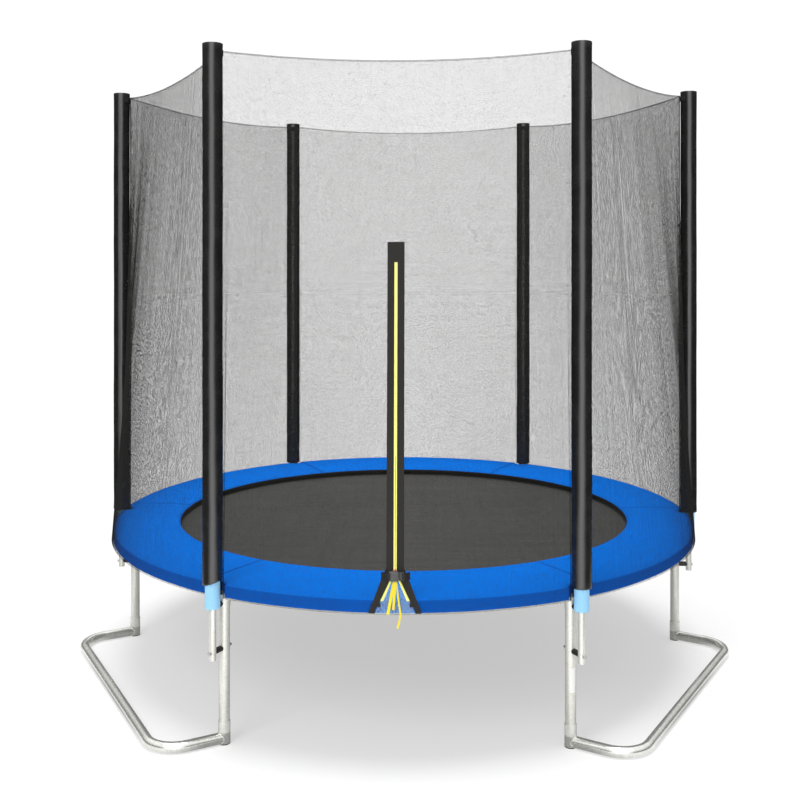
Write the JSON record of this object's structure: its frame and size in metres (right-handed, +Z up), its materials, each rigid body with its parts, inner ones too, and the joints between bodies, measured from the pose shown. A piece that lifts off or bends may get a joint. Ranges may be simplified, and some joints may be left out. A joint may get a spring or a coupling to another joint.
{
  "type": "trampoline",
  "caption": "Round garden trampoline on U-shaped floor legs with a spring pad, padded net poles and a mesh safety net with a zipped door.",
  "frame": {"origin": "centre of the jumping mat's axis on the floor", "axes": "+Z up; the net's zipped door faces -Y; +X towards a pole"},
  "size_m": [2.7786, 2.5648, 2.423],
  "materials": {
    "galvanised_steel": "galvanised tube with soft sheen and fine spangle",
    "galvanised_socket": "galvanised pressed socket",
    "pole_steel": "galvanised thin tube",
    "zinc_hardware": "bright zinc plate",
    "black_plastic": "moulded black plastic",
    "black_sleeve_vinyl": "smooth black coated fabric over foam",
    "blue_foam": "light blue closed-cell foam",
    "blue_pad_vinyl": "bright blue coated fabric over foam",
    "mat_weave": "tight black polypropylene weave",
    "net_mesh": "fine light grey safety mesh",
    "black_webbing": "black woven webbing",
    "door_tape": "black woven binding tape",
    "yellow_zip": "pale yellow coil zip",
    "yellow_ribbon": "yellow woven ribbon",
    "slider_metal": "dark enamelled slider",
    "buckle_plastic": "moulded dark grey plastic"
  },
  "bodies": {
    "frame": {"top_rail_1": "galvanised_steel", "t_socket_1": "galvanised_socket", "leg_upright_1": "galvanised_steel", "pole_lower_1": "pole_steel", "pole_sleeve_1": "black_sleeve_vinyl", "net_panel_1": "net_mesh", "top_rail_2": "galvanised_steel", "t_socket_2": "galvanised_socket", "leg_upright_2": "galvanised_steel", "pole_lower_2": "pole_steel", "pole_sleeve_2": "black_sleeve_vinyl", "net_panel_2": "net_mesh", "top_rail_3": "galvanised_steel", "t_socket_3": "galvanised_socket", "leg_upright_3": "galvanised_steel", "pole_lower_3": "pole_steel", "pole_sleeve_3": "black_sleeve_vinyl", "net_panel_3": "net_mesh", "top_rail_4": "galvanised_steel", "t_socket_4": "galvanised_socket", "leg_upright_4": "galvanised_steel", "pole_lower_4": "pole_steel", "pole_sleeve_4": "black_sleeve_vinyl", "net_panel_4": "net_mesh", "top_rail_5": "galvanised_steel", "t_socket_5": "galvanised_socket", "leg_upright_5": "galvanised_steel", "pole_lower_5": "pole_steel", "pole_sleeve_5": "black_sleeve_vinyl", "net_panel_5": "net_mesh", "top_rail_6": "galvanised_steel", "t_socket_6": "galvanised_socket", "leg_upright_6": "galvanised_steel", "pole_lower_6": "pole_steel", "pole_sleeve_6": "black_sleeve_vinyl", "net_panel_6": "net_mesh", "leg_base_1": "galvanised_steel", "leg_base_2": "galvanised_steel", "leg_base_3": "galvanised_steel", "foot_caps": "black_plastic", "upper_poles": "pole_steel", "foam_tubes": "blue_foam", "pole_spacers": "black_plastic", "pole_bolts": "zinc_hardware", "pole_nuts": "zinc_hardware", "socket_screws": "zinc_hardware", "springs": "zinc_hardware", "safety_pad": "blue_pad_vinyl", "net_straps": "black_webbing", "door_tapes": "door_tape", "zip_coils": "yellow_zip", "buckle_socket": "buckle_plastic", "socket_webbing": "black_webbing"},
    "mat": {"jump_mat": "mat_weave", "mat_band": "black_webbing", "v_rings": "zinc_hardware"},
    "slider": {"zip_slider": "slider_metal", "pull_ribbons": "yellow_ribbon"},
    "plug": {"buckle_plug": "buckle_plastic", "plug_webbing": "black_webbing"}
  },
  "joints": [
    {"name": "mat_bounce", "type": "slide", "parent": "frame", "child": "mat", "axis": [0, 0, 1], "range_m": [-0.1, 0], "stiffness_N_per_m": 6000, "springref_m": 0.012, "deforming": ["springs"]},
    {"name": "zip_slide", "type": "slide", "parent": "frame", "child": "slider", "axis": [0, 0.1039, 0.9946], "range_m": [0, 1]},
    {"name": "buckle_release", "type": "slide", "parent": "frame", "child": "plug", "axis": [1, 0, 0], "range_m": [0, 0.04]}
  ]
}
